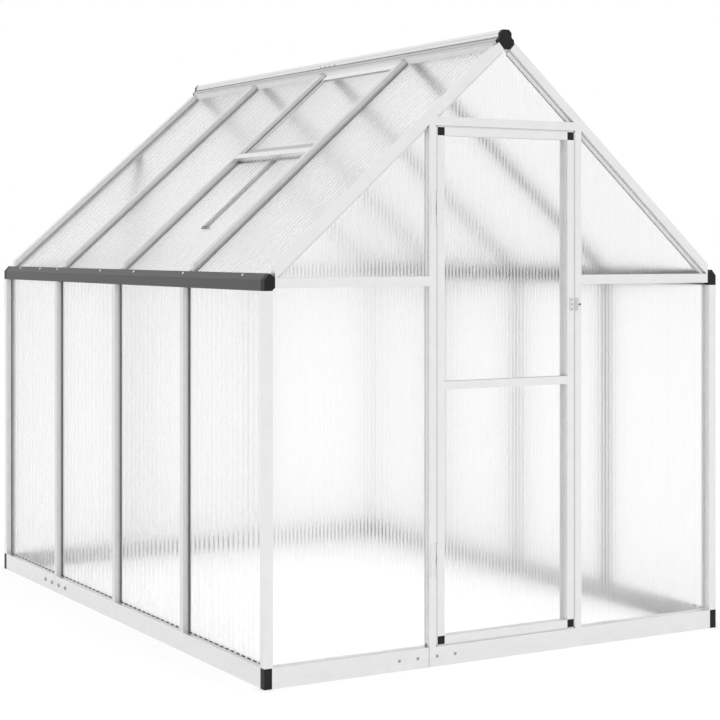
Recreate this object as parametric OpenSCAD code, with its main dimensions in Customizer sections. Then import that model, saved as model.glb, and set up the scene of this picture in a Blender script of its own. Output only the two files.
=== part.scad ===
// Walk-in greenhouse: aluminium glazing bars, twin-wall sheets, a hinged door and a roof vent.
// Millimetres, +Z up, origin on the ground at the middle of the base.
// X runs across the gable, the door is in the gable at -Y, the ridge runs along Y.

/* [Overall] */
// Length along the ridge, over the base
length = 2270; // [1900:10:3400]
// Width across the gable, over the base
width = 1690; // [1560:10:1900]
// Height of the side walls, from the ground to the gutter's underside
wall_h = 1145; // [1100:5:1300]
// Slope of the roof, in degrees
roof_pitch = 41.5; // [40:0.5:45]
// Bays along each side wall and roof slope
side_bays = 4; // [3:1:6]

/* [Bars] */
// Face width of a glazing bar
bar_w = 25; // [20:1:32]
// Depth of a bar's outer head
bar_head = 12; // [6:1:16]
// Thickness of the web between a bar's head and its inner lip
bar_web = 8; // [4:1:12]
// Thickness of the lip that the sheets lie against
lip_t = 2; // [1.5:0.5:4]
// Reach of the lip beside a corner bar
lip_reach = 10; // [6:1:14]
// Height of the tie rails across the gables
tie_h = 30; // [24:1:40]
// Height of the tie rails' middle above the gutter's underside
tie_rise = 23; // [20:1:30]

/* [Sheets] */
// Thickness of a twin-wall sheet
sheet_t = 4; // [4:1:8]
// Depth from a bar's face to the sheet
glaze_set = 22; // [18:1:26]
// Clearance at the edges of a sheet
sheet_gap = 0.5; // [0.3:0.1:1]

/* [Base] */
// Height of the base rails
base_h = 60; // [40:1:100]
// Depth of the base rails
base_d = 35; // [32:1:60]
// Wall thickness of the base rails
base_wall = 3; // [2:0.5:5]
// Side of the square corner caps
base_cap = 25; // [20:1:30]
// Gap in a base rail where its two lengths meet
seam = 1; // [0.5:0.5:3]
// Distance of the gable rails' seam from the middle
gable_seam_x = 287; // [200:1:400]
// Length of the plate behind a seam
splice_len = 260; // [200:10:320]
// Height of the plate behind a seam
splice_h = 40; // [25:1:50]

/* [Gutters] */
// Width of the gutter
gutter_w = 35; // [30:1:50]
// Height of the gutter at its highest line
gutter_h = 51; // [48:1:60]
// Height of the gutter's outer face
gutter_face_h = 32; // [24:1:40]
// Height of the gutter's inner face
gutter_inner_h = 38; // [38:1:48]
// Distance of the highest line from the outer face
gutter_top_in = 17; // [10:1:22]
// Wall thickness of the gutter
gutter_wall = 2.5; // [2:0.5:4]
// Length of the gutter's end caps
gutter_cap = 23; // [10:1:40]

/* [Ridge] */
// Rise of the roof's face from the gutter's underside to the line over the base's face
eave_rise = 40; // [38:1:44]
// Width of the ridge beam's web
ridge_web = 28; // [20:1:36]
// Depth of the web below the roof's apex
ridge_web_d = 45; // [40:1:60]
// Width of the ridge's head
ridge_head = 41; // [34:1:50]
// Width of the flat on top of the head
ridge_flat = 22; // [10:1:30]
// Height of the head above the roof's apex
ridge_rise = 15.4; // [10:0.1:25]
// Height of the head's shoulders above the roof's apex
ridge_shoulder = 5; // [2:0.5:9]
// Reach of the ridge's wings from the middle
ridge_wing = 30; // [26:1:40]
// Thickness of the wings
ridge_wing_t = 7; // [5:0.5:9]
// Height of the grooves along the ridge's head
ridge_groove = 3; // [2:0.5:4]
// Depth of the grooves along the ridge's head
ridge_groove_d = 2.5; // [1:0.5:4]
// Length of the ridge's end caps
ridge_cap = 14; // [8:1:20]
// Distance of the end caps' faces behind the gables' faces
ridge_set = 6; // [2:1:10]

/* [Doorway] */
// Clear width between the door jambs
opening_w = 522; // [440:2:600]
// Height of the header's top above the gable rafters' underside, beside the doorway
header_rise = 3.7; // [2:0.1:10]
// Height of the header's face
header_h = 27; // [20:1:32]
// Clearance all round the door
door_gap = 5; // [3:0.5:8]
// Height of the door's middle rail above the ground
mid_rail_z = 850; // [600:10:1100]

/* [Hinges and latch] */
// Height of a hinge
hinge_h = 100; // [60:2:140]
// Width of a hinge leaf
hinge_leaf = 17; // [12:1:20]
// Thickness of a hinge leaf
leaf_t = 2; // [1.5:0.5:3]
// Radius of the hinge's knuckles
knuckle_r = 3.5; // [3:0.1:4.2]
// Radius of the hinge pins
pin_r = 1.5; // [1.2:0.1:2]
// Running clearance round a pin
pin_clear = 0.1; // [0.05:0.01:0.2]
// Distance of the lower hinge's middle above the door's bottom
low_hinge_up = 257; // [150:1:400]
// Distance of the upper hinge's middle below the door's top
top_hinge_down = 248; // [150:1:400]
// Height of the latch above the ground
latch_z = 1090; // [900:5:1250]
// Height of the latch plates
latch_h = 42; // [30:1:60]
// Width of the latch plates
latch_w = 12; // [8:1:16]
// Thickness of the latch plates
latch_t = 3; // [2:0.5:5]
// Distance of the latch plates from the edges beside the door's gap
latch_set = 3; // [1:0.5:6]
// Radius of the latch's knob
knob_r = 3.5; // [3:0.5:6]
// Length of the latch's knob in front of its plate
knob_len = 12; // [8:1:20]

/* [Vent] */
// Length of the vent down the slope
vent_len = 456; // [300:2:520]
// Width of the vent's lower rail
vent_foot = 38; // [25:1:50]
// Gap between the vent and the bars round it
vent_gap = 3; // [2:0.5:6]
// Length of the stay below the lintel's middle
stay_len = 348; // [200:2:420]
// Width of the stay
stay_w = 40; // [12:1:60]
// Thickness of the stay
stay_t = 3; // [2:0.5:5]

/* [Hidden] */
$fn = 48;
half_w = width / 2;
half_l = length / 2;
sheet_back = glaze_set + sheet_t;
bar_d = sheet_back + lip_t;
web_edge = bar_web / 2 + sheet_gap;
bay = (length - bar_w) / side_bays;
apex_z = wall_h + eave_rise + half_w * tan(roof_pitch);
slope_len = half_w / cos(roof_pitch);
roof_end_x = half_w - gutter_w;
tie_z = wall_h + tie_rise;
// The header's underside, where the header meets the gable rafters beside the doorway
rafter_under = apex_z - bar_d / cos(roof_pitch) - opening_w / 2 * tan(roof_pitch);
header_z = rafter_under + header_rise - header_h;
jamb_x = (opening_w + bar_w) / 2;
door_w = opening_w - 2 * door_gap;
door_z0 = base_h + door_gap;
door_z1 = header_z - door_gap;
// Hinge axis, in the gap beside the door and just in front of its face
hinge_x = -(opening_w - door_gap) / 2;
bore_clear = 0.4;
hinge_y = -half_l - leaf_t - pin_r - pin_clear - bore_clear;
hinge_zs = [door_z0 + low_hinge_up, door_z1 - top_hinge_down];
knuckle_h = hinge_h / 3;
knuckle_play = 0.4;
leaf_clear = 1.5;
leaf_lap = 1;
pin_head_h = 2;
pin_head_in = 0.5;
// Bay of the vent, counted from the front, and the middles of the rafters beside it
vent_bay = 1;
vent_y0 = -half_l + bar_w / 2 + vent_bay * bay;
vent_y1 = vent_y0 + bay;
vent_x0 = (ridge_web / 2 + sheet_back * sin(roof_pitch)) / cos(roof_pitch) + sheet_gap;
vent_x1 = vent_x0 + vent_len;
lintel_x = vent_x1 + vent_gap + bar_w / 2;
over = 100;

// Colours
module bare_metal() color([0.84, 0.85, 0.86]) children();
module dark_metal() color([0.34, 0.35, 0.36]) children();
module black_plastic() color([0.13, 0.13, 0.14]) children();
module clear_sheet() color([0.93, 0.95, 0.96, 0.5]) children();

// Outline of a glazing bar: face along x at y = 0, depth along +y, a groove on each side
module bar_section(w) {
    e = w / 2;
    s = bar_web / 2;
    polygon([
        [-e, 0], [e, 0], [e, bar_head], [s, bar_head], [s, sheet_back], [e, sheet_back],
        [e, bar_d], [-e, bar_d], [-e, sheet_back], [-s, sheet_back], [-s, bar_head], [-e, bar_head]
    ]);
}

// Outline of a corner bar: outer corner at the origin, a lip behind the sheet on each side
module corner_section() {
    c = bar_d;
    r = bar_d + lip_reach;
    b = sheet_back;
    polygon([[0, 0], [c, 0], [c, b], [r, b], [r, c], [c, c], [c, r], [b, r], [b, c], [0, c]]);
}

// Outline of a closed edge bar: depth d along +y, a lip behind the sheet on the +x side
module edge_section(d) {
    l = bar_w + lip_reach;
    polygon([[0, 0], [bar_w, 0], [bar_w, d - lip_t], [l, d - lip_t], [l, d], [0, d]]);
}

// Placing: both ends, both sides, all four corners
module both_ends() {
    children();
    mirror([0, 1, 0]) children();
}

module both_sides() {
    children();
    mirror([1, 0, 0]) children();
}

// A flat shape drawn in X and Z, stood up across the gable from y0 over a thickness t
module upright(y0, t) {
    translate([0, y0 + t, 0]) rotate([90, 0, 0]) linear_extrude(t) children();
}

// A bar that stands in the front wall, with its middle at x
module front_upright(x, z0, z1) {
    translate([x, -half_l, z0]) linear_extrude(z1 - z0) bar_section(bar_w);
}

// A bar that lies across the front wall, with its middle at z
module front_cross(x0, x1, z, w) {
    translate([x0, -half_l, z]) rotate([0, 90, 0]) linear_extrude(x1 - x0) bar_section(w);
}

// The right-hand slope: x runs down the slope from the apex, z out of the roof's face
module on_slope() {
    translate([0, 0, apex_z]) rotate([0, roof_pitch, 0]) children();
}

// What lies on the right-hand slope is cut upright at the ridge's web and at the gutter
module between_ridge_and_gutter(gap) {
    intersection() {
        on_slope() children();
        translate([ridge_web / 2 + gap, -length, 0])
            cube([roof_end_x - ridge_web / 2 - 2 * gap, 2 * length, apex_z]);
    }
}

// Triangle of the gable below a line that lies off below the roof's face
module gable_field(off) {
    h = apex_z - off / cos(roof_pitch);
    e = h / tan(roof_pitch);
    polygon([[-e, 0], [e, 0], [0, h]]);
}

// Room for the bars of a gable, under the gable rafters and their lips
module gable_room() {
    upright(-half_l, sheet_back) gable_field(bar_d);
    upright(-half_l + sheet_back, lip_t) gable_field(bar_d + lip_reach + sheet_gap);
}

// Rectangle from one corner to the other
module rect(x0, y0, x1, y1) {
    translate([x0, y0]) square([x1 - x0, y1 - y0]);
}

// Middles of the studs and rafters between the corner posts
function stud_y(i) = -half_l + bar_w / 2 + i * bay;

// Ends of the sheet in bay i, from the front
function sheet_y0(i) = i == 0 ? -half_l + bar_d + sheet_gap : stud_y(i) + web_edge;
function sheet_y1(i) = i == side_bays - 1 ? half_l - bar_d - sheet_gap : stud_y(i + 1) - web_edge;

// Base rails

// Plan of a rail along x of half length e and outer face at y = -f: square to the cap, then mitred
module rail_plan(e, f) {
    c = base_cap;
    d = base_d;
    polygon([
        [-e + c, -f], [e - c, -f], [e - c, -f + c], [e - d, -f + d], [-e + d, -f + d], [-e + c, -f + c]
    ]);
}

// A rail open to the inside, with a seam at s
module base_rail(e, f, s) {
    difference() {
        linear_extrude(base_h) rail_plan(e, f);
        translate([-e, -f + base_wall, base_wall]) cube([2 * e, base_d, base_h - 2 * base_wall]);
        translate([s - seam / 2, -f - over, -over]) cube([seam, base_d + 2 * over, base_h + 2 * over]);
    }
}

module splice_plate(f, s) {
    translate([s - splice_len / 2, -f + base_wall, (base_h - splice_h) / 2])
        cube([splice_len, base_wall, splice_h]);
}

side_seam = half_l - bay - bar_w / 2;

module front_base_rail() bare_metal() base_rail(half_w, half_l, -gable_seam_x);

module back_base_rail() bare_metal() rotate([0, 0, 180]) base_rail(half_w, half_l, -gable_seam_x);

module left_base_rail() bare_metal() rotate([0, 0, -90]) base_rail(half_l, half_w, -side_seam);

module right_base_rail() bare_metal() mirror([1, 0, 0]) left_base_rail();

module base_splice_plates() bare_metal() {
    splice_plate(half_l, -gable_seam_x);
    rotate([0, 0, 180]) splice_plate(half_l, -gable_seam_x);
    both_sides() rotate([0, 0, -90]) splice_plate(half_w, -side_seam);
}

module base_corner_caps() black_plastic()
    both_ends() both_sides() translate([-half_w, -half_l, 0]) cube([base_cap, base_cap, base_h]);

// Walls

module corner_posts() bare_metal()
    both_ends() both_sides() translate([-half_w, -half_l, base_h])
        linear_extrude(wall_h - base_h) corner_section();

module left_studs() bare_metal()
    for (i = [1 : side_bays - 1])
        translate([-half_w, stud_y(i), base_h]) rotate([0, 0, -90])
            linear_extrude(wall_h - base_h) bar_section(bar_w);

module right_studs() bare_metal() mirror([1, 0, 0]) left_studs();

// Outline of the gutter from its outer lower corner, x inwards, y up
module gutter_outline() {
    chamfer = gutter_w - base_cap;
    polygon([
        [0, 0], [gutter_w - chamfer, 0], [gutter_w, chamfer], [gutter_w, gutter_inner_h],
        [gutter_top_in, gutter_h], [0, gutter_face_h]
    ]);
}

// Outline of the hollow inside the gutter
module gutter_hollow() {
    chamfer = gutter_w - base_cap;
    w = gutter_wall;
    top_drop = 1.5 * w;
    polygon([
        [w, w], [gutter_w - chamfer - w / 2, w], [gutter_w - w, chamfer + w / 2],
        [gutter_w - w, gutter_inner_h - w], [gutter_top_in, gutter_h - top_drop], [w, gutter_face_h - w]
    ]);
}

module left_gutter() dark_metal()
    translate([-half_w, 0, wall_h]) upright(-half_l + gutter_cap, length - 2 * gutter_cap)
        difference() {
            gutter_outline();
            gutter_hollow();
        }

module right_gutter() dark_metal() mirror([1, 0, 0]) left_gutter();

module gutter_end_caps() black_plastic()
    both_ends() both_sides() translate([-half_w, 0, wall_h])
        upright(-half_l, gutter_cap) gutter_outline();

// Ridge

function roof_z(x) = apex_z - x * tan(roof_pitch);

wing_rise = ridge_wing_t / cos(roof_pitch);

// Right-hand half of the ridge's outline above the roof's face, from the top down, grooves d deep
function ridge_side(d) = let (e = ridge_head / 2, top = apex_z + ridge_shoulder, low = roof_z(e) + wing_rise) [
    [ridge_flat / 2, apex_z + ridge_rise],
    [e, top],
    [e - d, top],
    [e - d, top - ridge_groove],
    [e, top - ridge_groove],
    [e, low + ridge_groove],
    [e - d, low + ridge_groove],
    [e - d, roof_z(e - d) + wing_rise],
    [ridge_wing, roof_z(ridge_wing) + wing_rise],
    [ridge_wing, roof_z(ridge_wing)]
];

function mirrored(points) = [for (i = [len(points) - 1 : -1 : 0]) [-points[i][0], points[i][1]]];

module ridge_outline() {
    web = [
        [ridge_web / 2, roof_z(ridge_web / 2)],
        [ridge_web / 2, apex_z - ridge_web_d]
    ];
    side = concat(ridge_side(ridge_groove_d), web);
    polygon(concat(side, mirrored(side)));
}

// The end cap tapers from the wings to the foot of the web
module ridge_cap_outline() {
    side = concat(ridge_side(0), [[ridge_web / 2, apex_z - ridge_web_d]]);
    polygon(concat(side, mirrored(side)));
}

module ridge_beam() bare_metal()
    upright(-half_l + ridge_set + ridge_cap, length - 2 * (ridge_set + ridge_cap)) ridge_outline();

module ridge_end_caps() black_plastic()
    both_ends() upright(-half_l + ridge_set, ridge_cap) ridge_cap_outline();

// Roof bars

// A gable rafter is cut square at the ridge's wing, beside the end cap
module right_gable_rafter() between_ridge_and_gutter(0)
    translate([ridge_wing / cos(roof_pitch) + sheet_gap, -half_l, 0]) rotate([0, 90, 0])
        linear_extrude(slope_len) corner_section();

module front_gable_rafters() bare_metal() both_sides() right_gable_rafter();

module back_gable_rafters() bare_metal() mirror([0, 1, 0]) front_gable_rafters();

module right_rafters() bare_metal()
    for (i = [1 : side_bays - 1])
        between_ridge_and_gutter(0)
            translate([-over, stud_y(i), 0]) rotate([-90, 0, 0]) rotate([0, 90, 0])
                linear_extrude(slope_len + 2 * over) bar_section(bar_w);

module left_rafters() bare_metal() mirror([1, 0, 0]) right_rafters();

// Gable bars

module front_tie_rails() bare_metal() both_sides() intersection() {
    front_cross(-roof_end_x, -jamb_x - bar_w / 2, tie_z, tie_h);
    gable_room();
}

module back_tie_rails() bare_metal() mirror([0, 1, 0]) {
    front_tie_rails();
    front_cross(-jamb_x + bar_w / 2, jamb_x - bar_w / 2, tie_z, tie_h);
}

module door_jambs() bare_metal() both_sides() intersection() {
    front_upright(jamb_x, base_h, apex_z);
    gable_room();
}

module door_header() bare_metal() intersection() {
    front_cross(-opening_w / 2, opening_w / 2, header_z + header_h / 2, header_h);
    gable_room();
}

module back_gable_studs() bare_metal() mirror([0, 1, 0]) door_jambs();

// Sheets

module left_wall_sheets() clear_sheet()
    for (i = [0 : side_bays - 1])
        translate([-half_w + glaze_set, sheet_y0(i), base_h + sheet_gap])
            cube([sheet_t, sheet_y1(i) - sheet_y0(i), wall_h - base_h - 2 * sheet_gap]);

module right_wall_sheets() clear_sheet() mirror([1, 0, 0]) left_wall_sheets();

// The sheet in bay i of the right-hand slope, from x0 down to the gutter
module roof_sheet(i, x0) {
    between_ridge_and_gutter(sheet_gap)
        translate([x0, sheet_y0(i), -sheet_back])
            cube([slope_len - x0, sheet_y1(i) - sheet_y0(i), sheet_t]);
}

module right_roof_sheets() clear_sheet()
    for (i = [0 : side_bays - 1]) roof_sheet(i, 0);

module left_roof_sheets() clear_sheet() mirror([1, 0, 0])
    for (i = [0 : side_bays - 1]) roof_sheet(i, i == vent_bay ? lintel_x + web_edge : 0);

// Sheet beside the corner post, notched round the gutter
module lower_side_shape() {
    difference() {
        rect(-half_w + bar_d + sheet_gap, base_h + sheet_gap, -jamb_x - web_edge, tie_z - web_edge);
        rect(-half_w, wall_h - sheet_gap, -roof_end_x + sheet_gap, tie_z);
    }
}

module upper_side_shape() {
    intersection() {
        gable_field(bar_d + sheet_gap);
        rect(-roof_end_x + sheet_gap, tie_z + web_edge, -jamb_x - web_edge, apex_z);
    }
}

// Sheet in the middle of a gable, from z0 up to the rafters and the ridge
module upper_middle_shape(z0) {
    e = jamb_x - web_edge;
    difference() {
        intersection() {
            gable_field(bar_d + sheet_gap);
            rect(-e, z0, e, apex_z);
        }
        rect(-ridge_web / 2 - sheet_gap, apex_z - ridge_web_d - sheet_gap,
             ridge_web / 2 + sheet_gap, apex_z);
    }
}

module gable_sheet() upright(-half_l + glaze_set, sheet_t) children();

module front_lower_sheets() clear_sheet() both_sides() gable_sheet() lower_side_shape();

module front_gable_sheets() clear_sheet() {
    both_sides() gable_sheet() upper_side_shape();
    gable_sheet() upper_middle_shape(header_z + header_h / 2 + web_edge);
}

module back_lower_sheets() clear_sheet() mirror([0, 1, 0]) {
    e = jamb_x - web_edge;
    both_sides() gable_sheet() lower_side_shape();
    gable_sheet() rect(-e, base_h + sheet_gap, e, tie_z - web_edge);
}

module back_gable_sheets() clear_sheet() mirror([0, 1, 0]) {
    both_sides() gable_sheet() upper_side_shape();
    gable_sheet() upper_middle_shape(tie_z + web_edge);
}

// Vent on the left-hand slope, closed, lying on the lips of the rafters beside it

vent_edge = bar_web / 2 + vent_gap;
vent_face = bar_head + vent_gap;
vent_d = sheet_back - vent_face;

module on_left_slope() mirror([1, 0, 0]) on_slope() children();

// A vent bar along y, of width w down the slope
module vent_rail(x, w) {
    translate([x, vent_y0 + vent_edge + bar_w, -sheet_back])
        cube([w, bay - 2 * vent_edge - 2 * bar_w, vent_d]);
}

module vent_stiles() bare_metal() on_left_slope()
    for (y = [vent_y0 + vent_edge, vent_y1 - vent_edge - bar_w])
        translate([vent_x0, y, -sheet_back]) cube([vent_len, bar_w, vent_d]);

module vent_rails() bare_metal() on_left_slope() {
    vent_rail(vent_x0, bar_w);
    vent_rail(vent_x1 - vent_foot, vent_foot);
}

module vent_sheet() clear_sheet() on_left_slope()
    translate([vent_x0 + bar_w + sheet_gap, vent_y0 + vent_edge + bar_w + sheet_gap, -sheet_back])
        cube([
            vent_len - bar_w - vent_foot - 2 * sheet_gap,
            bay - 2 * vent_edge - 2 * bar_w - 2 * sheet_gap,
            sheet_t
        ]);

module vent_lintel() bare_metal() on_left_slope()
    translate([lintel_x, vent_y0 + bar_w / 2, 0]) rotate([-90, 0, 0])
        linear_extrude(bay - bar_w) bar_section(bar_w);

// The stay lies under the sheet, against the back of the lintel
module vent_stay() bare_metal() on_left_slope()
    translate([lintel_x - bar_w / 2, (vent_y0 + vent_y1 - stay_w) / 2, -bar_d - stay_t])
        cube([stay_len + bar_w / 2, stay_w, stay_t]);

// Door hinges and latch

// A hinge knuckle of height h, from z up
module knuckle(z, h) {
    translate([hinge_x, hinge_y, z]) difference() {
        cylinder(r = knuckle_r, h = h);
        translate([0, 0, -over]) cylinder(r = pin_r + pin_clear, h = h + 2 * over);
    }
}

// The pieces of one leaf on the +x side of the axis: plate, strips and knuckles over the spans given
module hinge_leaf(z, spans) {
    inset = knuckle_r + leaf_clear;
    translate([hinge_x + inset, -half_l - leaf_t, z - hinge_h / 2]) cube([hinge_leaf, leaf_t, hinge_h]);
    for (s = spans) {
        z0 = z - hinge_h / 2 + s * knuckle_h + knuckle_play;
        h = knuckle_h - 2 * knuckle_play;
        knuckle(z0, h);
        translate([hinge_x, -half_l - leaf_t, z0]) cube([inset + leaf_lap, leaf_t, h]);
    }
}

module door_hinge_leaves() bare_metal()
    for (z = hinge_zs) hinge_leaf(z, [1]);

module jamb_hinge_leaves() bare_metal()
    for (z = hinge_zs) translate([hinge_x, 0, 0]) mirror([1, 0, 0]) translate([-hinge_x, 0, 0])
        hinge_leaf(z, [0, 2]);

module hinge_pins() bare_metal()
    for (z = hinge_zs) translate([hinge_x, hinge_y, z - hinge_h / 2 + knuckle_play]) {
        cylinder(r = pin_r, h = hinge_h - knuckle_play);
        translate([0, 0, hinge_h - 2 * knuckle_play]) cylinder(r = knuckle_r - pin_head_in, h = pin_head_h);
    }

module latch_plate(x) {
    translate([x, -half_l - latch_t, latch_z - latch_h / 2]) cube([latch_w, latch_t, latch_h]);
}

// The turn-button is on the jamb, the plate it turns over is on the door
module latch_keeper() bare_metal() {
    x = opening_w / 2 + latch_set;
    latch_plate(x);
    translate([x + latch_w / 2, -half_l, latch_z]) rotate([90, 0, 0])
        cylinder(r = knob_r, h = latch_t + knob_len);
}

module door_latch() bare_metal() latch_plate(door_w / 2 - latch_set - latch_w);

// Door

module door_corner_caps() black_plastic()
    both_sides()
        for (z = [door_z0, door_z1 - bar_w])
            translate([-door_w / 2, -half_l, z]) cube([bar_w, bar_d, bar_w]);

module door_stiles() bare_metal() both_sides()
    translate([-door_w / 2, -half_l, door_z0 + bar_w])
        linear_extrude(door_z1 - door_z0 - 2 * bar_w) edge_section(bar_d);

module door_rails() bare_metal() {
    e = door_w / 2 - bar_w;
    for (z = [door_z0, door_z1 - bar_w])
        translate([-e, -half_l, z]) cube([2 * e, bar_d, bar_w]);
}

// The middle rail's lip stops at the lips of the stiles
module door_mid_rail() bare_metal() difference() {
    e = door_w / 2 - bar_w;
    front_cross(-e, e, mid_rail_z, bar_w);
    both_sides() translate([-e - over, -half_l + sheet_back, mid_rail_z - bar_w])
        cube([over + lip_reach + sheet_gap, over, 2 * bar_w]);
}

module door_sheets() clear_sheet() gable_sheet() {
    e = door_w / 2 - bar_w - sheet_gap;
    rect(-e, door_z0 + bar_w + sheet_gap, e, mid_rail_z - web_edge);
    rect(-e, mid_rail_z + web_edge, e, door_z1 - bar_w - sheet_gap);
}

front_base_rail();
back_base_rail();
left_base_rail();
right_base_rail();
base_splice_plates();
base_corner_caps();
corner_posts();
left_studs();
right_studs();
left_gutter();
right_gutter();
gutter_end_caps();
ridge_beam();
ridge_end_caps();
front_gable_rafters();
back_gable_rafters();
left_rafters();
right_rafters();
front_tie_rails();
back_tie_rails();
door_jambs();
door_header();
back_gable_studs();
left_wall_sheets();
right_wall_sheets();
left_roof_sheets();
right_roof_sheets();
front_lower_sheets();
front_gable_sheets();
back_lower_sheets();
back_gable_sheets();
vent_stiles();
vent_rails();
vent_sheet();
vent_lintel();
vent_stay();
jamb_hinge_leaves();
hinge_pins();
latch_keeper();
door_stiles();
door_rails();
door_mid_rail();
door_corner_caps();
door_sheets();
door_hinge_leaves();
door_latch();
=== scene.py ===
import math

import bmesh
import bpy
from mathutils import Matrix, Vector


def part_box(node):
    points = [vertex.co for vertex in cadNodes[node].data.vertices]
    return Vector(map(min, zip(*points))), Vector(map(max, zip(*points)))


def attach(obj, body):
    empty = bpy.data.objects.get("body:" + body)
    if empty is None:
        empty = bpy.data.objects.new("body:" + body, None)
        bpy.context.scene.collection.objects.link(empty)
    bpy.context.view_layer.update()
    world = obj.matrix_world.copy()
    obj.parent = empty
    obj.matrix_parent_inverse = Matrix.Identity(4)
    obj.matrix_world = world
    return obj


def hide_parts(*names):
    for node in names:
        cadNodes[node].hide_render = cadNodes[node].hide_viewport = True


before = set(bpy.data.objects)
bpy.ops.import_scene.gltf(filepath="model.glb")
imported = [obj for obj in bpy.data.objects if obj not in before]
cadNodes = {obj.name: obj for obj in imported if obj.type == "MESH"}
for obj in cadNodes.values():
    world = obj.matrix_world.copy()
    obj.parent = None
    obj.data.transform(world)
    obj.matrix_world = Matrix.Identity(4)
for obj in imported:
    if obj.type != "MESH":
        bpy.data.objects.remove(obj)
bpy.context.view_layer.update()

scene = bpy.context.scene
acrossHouse, alongHouse, upHouse = 0, 1, 2  # the house's axes
print("frame loaded:", len(cadNodes), "nodes")


# Camera at the photograph's viewing angle: level, so uprights stay upright
cameraSet = {
    "place": (-3.176, -5.726, 1.2716),
    "heading": (0.5054, 0.8629),
    "lens": 89.6,
    "sensor": 36.0,
    "shift": (-0.0167, -0.1569),
    "farthest": 200.0,
}


def makeCamera():
    data = bpy.data.cameras.new("viewCamera")
    data.lens = cameraSet["lens"]
    data.sensor_width = cameraSet["sensor"]
    data.shift_x, data.shift_y = cameraSet["shift"]
    data.clip_end = cameraSet["farthest"]
    camera = bpy.data.objects.new("viewCamera", data)
    camera.location = cameraSet["place"]
    east, north = cameraSet["heading"]
    camera.rotation_euler = (math.pi / 2, 0.0, -math.atan2(east, north))
    scene.collection.objects.link(camera)
    scene.camera = camera


makeCamera()
scene.view_settings.view_transform = "Standard"
print("camera set")


# Studio: pale floor, white surround, one soft lamp
studio = {
    "floorSide": 60.0,
    "floorDrop": 0.0005,
    "floorColour": (0.86, 0.86, 0.86, 1.0),
    "floorRoughness": 0.9,
    "floorGlow": 0.25,
    "white": (1.0, 1.0, 1.0, 1.0),
    "surroundLight": 0.85,
    "lampPlace": (-2.6, -3.4, 5.0),
    "lampPower": 0.5,
    "lampSoftness": 1.0,
}


# Sets the low and high end of a Map Range node's From or To side
def setRange(node, side, ends):
    low, high = ends
    node.inputs[side + " Min"].default_value = low
    node.inputs[side + " Max"].default_value = high


# 1 for rays that see the background straight, in a mirror or through glass
def seenRays(tree):
    path = tree.nodes.new("ShaderNodeLightPath")
    first = tree.nodes.new("ShaderNodeMath")
    first.operation = "MAXIMUM"
    tree.links.new(path.outputs["Is Camera Ray"], first.inputs[0])
    tree.links.new(path.outputs["Is Glossy Ray"], first.inputs[1])
    second = tree.nodes.new("ShaderNodeMath")
    second.operation = "MAXIMUM"
    tree.links.new(first.outputs[0], second.inputs[0])
    tree.links.new(path.outputs["Is Transmission Ray"], second.inputs[1])
    return second.outputs[0]


def makeWorld():
    world = bpy.data.worlds.new("whiteSurround")
    scene.world = world
    world.use_nodes = True
    tree = world.node_tree
    background = tree.nodes["Background"]
    background.inputs["Color"].default_value = studio["white"]
    level = tree.nodes.new("ShaderNodeMapRange")
    setRange(level, "To", (studio["surroundLight"], 1.0))
    tree.links.new(seenRays(tree), level.inputs["Value"])
    tree.links.new(level.outputs["Result"], background.inputs["Strength"])


def makeFloor():
    side = studio["floorSide"] / 2
    drop = -studio["floorDrop"]
    mesh = bpy.data.meshes.new("paleFloor")
    corners = [(-side, -side, drop), (side, -side, drop), (side, side, drop), (-side, side, drop)]
    mesh.from_pydata(corners, [], [(0, 1, 2, 3)])
    floor = bpy.data.objects.new("paleFloor", mesh)
    scene.collection.objects.link(floor)
    mat = bpy.data.materials.new("paleFloor")
    mat.use_nodes = True
    tree = mat.node_tree
    shader = tree.nodes["Principled BSDF"]
    shader.inputs["Base Color"].default_value = studio["floorColour"]
    shader.inputs["Roughness"].default_value = studio["floorRoughness"]
    shader.inputs["Specular IOR Level"].default_value = 0.0
    shader.inputs["Emission Color"].default_value = studio["white"]
    glow = tree.nodes.new("ShaderNodeMath")
    glow.operation = "MULTIPLY"
    glow.inputs[1].default_value = studio["floorGlow"]
    tree.links.new(seenRays(tree), glow.inputs[0])
    tree.links.new(glow.outputs[0], shader.inputs["Emission Strength"])
    mesh.materials.append(mat)


def makeLamp():
    data = bpy.data.lights.new("keyLamp", "SUN")
    data.energy = studio["lampPower"]
    data.angle = studio["lampSoftness"]
    lamp = bpy.data.objects.new("keyLamp", data)
    place = Vector(studio["lampPlace"])
    lamp.location = place
    lamp.rotation_euler = (-place).to_track_quat("-Z", "Y").to_euler()
    scene.collection.objects.link(lamp)


makeWorld()
makeFloor()
makeLamp()
print("studio ready")


# Finishes

metalLook = {
    "brightColours": ((0.76, 0.76, 0.765, 1.0), (0.83, 0.83, 0.835, 1.0)),
    # A darker copy of the bright colours: painted shade on the studs, rafters, vent stiles and latch
    "shadedBrightColours": ((0.69, 0.69, 0.695, 1.0), (0.76, 0.76, 0.765, 1.0)),
    # Darker grey for the vent rails: painted shade
    "greyColours": ((0.46, 0.46, 0.465, 1.0), (0.52, 0.52, 0.525, 1.0)),
    # Painted shade: a darker colour for the bars' faces that look into the house, a lighter one for the
    # base rails' inner faces, and the facing range that picks them
    "paintedShadeColour": (0.36, 0.36, 0.365, 1.0),
    "basePaintedShade": (0.58, 0.58, 0.585, 1.0),
    "paintedShadeFacing": (-0.4, -0.7),
    "metallic": 0.9,
    "roughness": (0.30, 0.44),
    "lineSize": (0.11, 0.0011),
    "lineDetail": 2.0,
    "mottleScale": 26.0,
    "mottleDetail": 4.0,
    "mottleShare": 0.45,
    "spread": (0.3, 0.7),
    "bump": 0.00004,
}
roofPitch = math.radians(41.5)


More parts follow.
